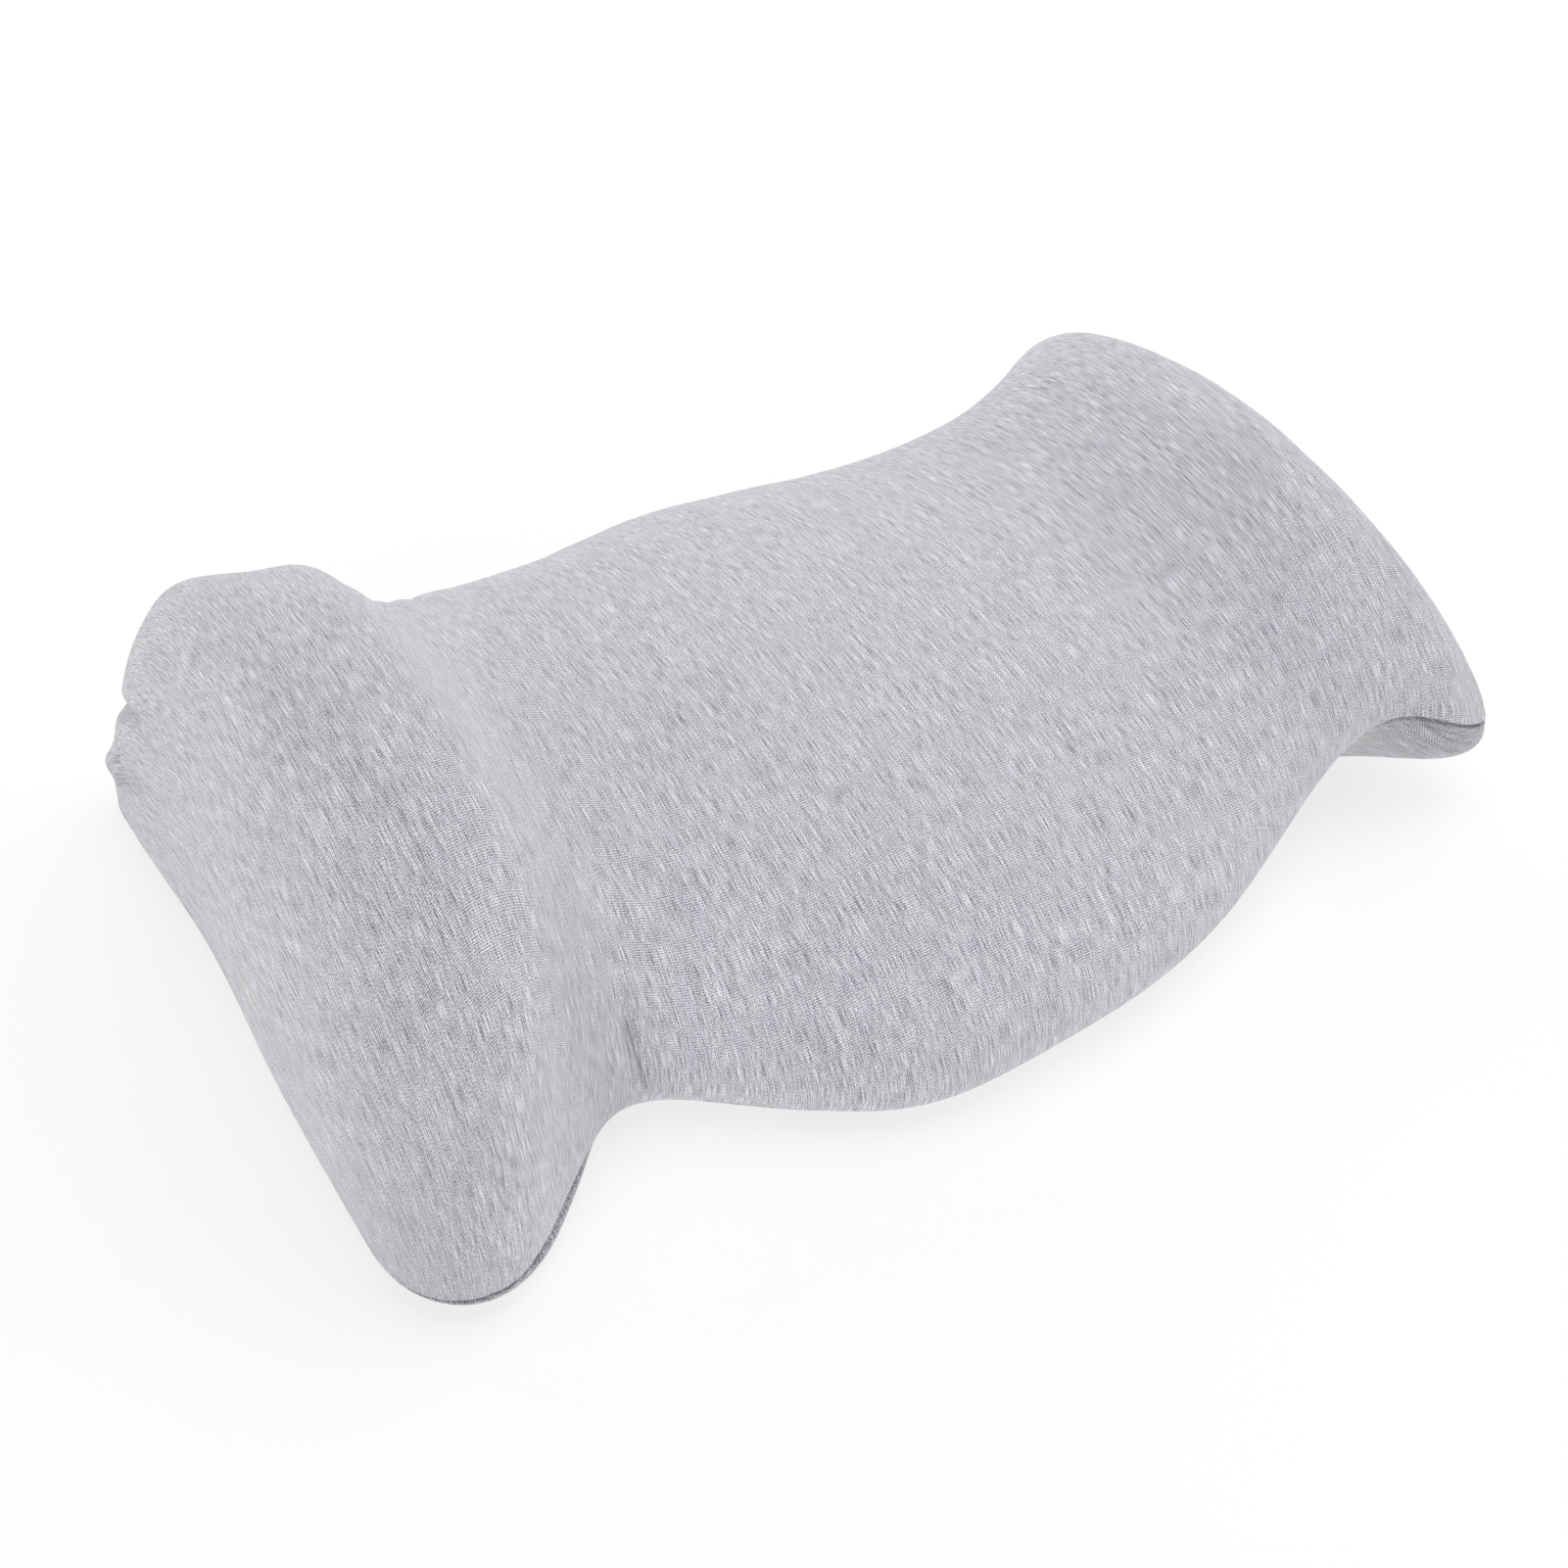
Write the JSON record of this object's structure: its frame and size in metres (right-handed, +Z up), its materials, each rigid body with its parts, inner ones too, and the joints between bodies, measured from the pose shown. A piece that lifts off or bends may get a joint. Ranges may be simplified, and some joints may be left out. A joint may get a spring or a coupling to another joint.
{
  "type": "lumbar pillow",
  "caption": "Jersey-covered lumbar pillow: one filled cushion with two raised end wings, drawn-in necks and a low crowned middle, lying on its back.",
  "frame": {"origin": "middle of the bounding box on the plan, at the height of the flat base", "axes": "+X along the pillow toward the lower wing, +Y across it toward the back edge, +Z up out of the crowned face"},
  "size_m": [0.4554, 0.3026, 0.1543],
  "materials": {
    "jersey": "soft pale grey heather jersey knit, matt with a fine fuzz"
  },
  "bodies": {
    "root": {"pillow": "jersey"}
  },
  "joints": []
}
